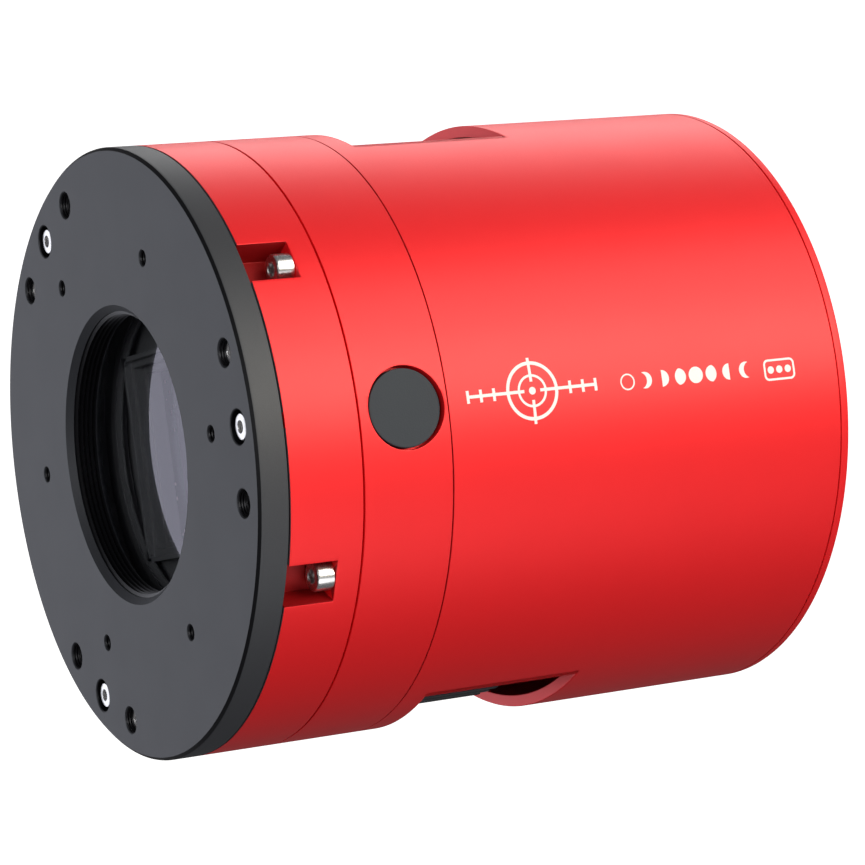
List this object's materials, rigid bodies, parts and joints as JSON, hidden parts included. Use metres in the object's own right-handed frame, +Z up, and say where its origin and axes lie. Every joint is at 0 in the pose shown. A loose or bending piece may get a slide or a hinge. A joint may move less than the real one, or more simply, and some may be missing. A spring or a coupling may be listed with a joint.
{
  "type": "guide camera",
  "caption": "Round cooled guide camera for a telescope, with a threaded tilt plate in front, a sealed sensor chamber, a finned heat sink, a fan and rear sockets.",
  "frame": {"origin": "centre of the tilt plate's front mounting face, on the optical axis", "axes": "+Y from the front face to the rear cover, +X towards the round port plug, +Z up through the upper vent"},
  "size_m": [0.0898, 0.0972, 0.0898],
  "materials": {
    "black_anodised": "satin black anodised",
    "red_anodised": "fine satin red anodised",
    "dark_plug": "matt dark grey",
    "stainless": "bright stainless steel",
    "black_steel": "blackened steel",
    "window_glass": "anti-reflection coated glass with a violet sheen",
    "seal_rubber": "matt black rubber",
    "matt_black": "flat black",
    "ceramic": "black ceramic",
    "sensor": "dark sensor surface with a blue-green sheen",
    "circuit_board": "green solder mask",
    "aluminium": "plain machined",
    "alumina": "white ceramic",
    "foam": "closed-cell foam",
    "tablet": "pressed powder",
    "black_plastic": "moulded black",
    "ribbon": "amber polyimide"
  },
  "bodies": {
    "camera": {"front_housing": "red_anodised", "pull_screw_2": "stainless", "pull_screw_3": "stainless", "housing_screw_1": "stainless", "housing_screw_2": "stainless", "housing_screw_3": "stainless", "housing_screw_4": "stainless", "window_retaining_ring": "black_anodised", "window_glass": "window_glass", "window_seal": "seal_rubber", "window_heater": "matt_black", "sensor_mask": "matt_black", "chamber_seal": "seal_rubber", "sensor_cover_glass": "window_glass", "sensor_package": "ceramic", "sensor_die": "sensor", "sensor_board": "circuit_board", "humidity_sensor": "black_plastic", "cold_finger": "aluminium", "cooler_cold_stage": "alumina", "cooler_hot_stage": "alumina", "insulation_foam": "foam", "middle_housing": "red_anodised", "desiccant_tablet": "tablet", "heat_sink": "black_anodised", "rear_barrel": "red_anodised", "fan_frame": "black_plastic", "fan_screw_1": "black_steel", "fan_screw_2": "black_steel", "fan_screw_3": "black_steel", "fan_screw_4": "black_steel", "main_board": "circuit_board", "processor": "black_plastic", "memory_chip": "black_plastic", "data_socket": "stainless", "hub_socket_1": "stainless", "hub_socket_2": "stainless", "power_socket": "black_plastic", "ribbon_cable": "ribbon", "rear_cover": "red_anodised", "rear_screw_1": "stainless", "rear_screw_2": "stainless", "rear_screw_3": "stainless", "rear_screw_4": "stainless"},
    "plate": {"tilt_plate": "black_anodised", "push_screw_2a": "stainless", "push_screw_2b": "black_steel", "push_screw_3a": "stainless", "push_screw_3b": "black_steel"},
    "pull_adjuster": {"pull_screw_1": "stainless"},
    "push_adjuster_a": {"push_screw_1a": "stainless"},
    "push_adjuster_b": {"push_screw_1b": "black_steel"},
    "fan": {"fan_rotor": "black_plastic"},
    "plug": {"port_plug": "dark_plug", "plug_seal": "seal_rubber"}
  },
  "joints": [
    {"name": "plate_tilt", "type": "hinge", "parent": "camera", "child": "plate", "pos_m": [-0.02, 0.00453, 0], "axis": [0, 0, 1], "range_deg": [-0.25, 0.25]},
    {"name": "pull_screw_travel", "type": "slide", "parent": "camera", "child": "pull_adjuster", "axis": [0, 1, 0], "range_m": [-0.0003, 0.0003]},
    {"name": "push_screw_a_travel", "type": "slide", "parent": "plate", "child": "push_adjuster_a", "axis": [0, 1, 0], "range_m": [-0.0003, 0.0003]},
    {"name": "push_screw_b_travel", "type": "slide", "parent": "plate", "child": "push_adjuster_b", "axis": [0, 1, 0], "range_m": [-0.0003, 0.0003]},
    {"name": "fan_spin", "type": "hinge", "parent": "camera", "child": "fan", "pos_m": [0, 0.0685, 0], "axis": [0, 1, 0], "continuous": true},
    {"name": "plug_pull", "type": "slide", "parent": "camera", "child": "plug", "axis": [1, 0, 0], "range_m": [0, 0.012]}
  ],
  "couplings": [
    {"joint": "pull_screw_travel", "follows": "plate_tilt", "m_per_rad": 0.06},
    {"joint": "push_screw_a_travel", "follows": "plate_tilt", "m_per_rad": -0.0586},
    {"joint": "push_screw_b_travel", "follows": "plate_tilt", "m_per_rad": -0.0586}
  ]
}
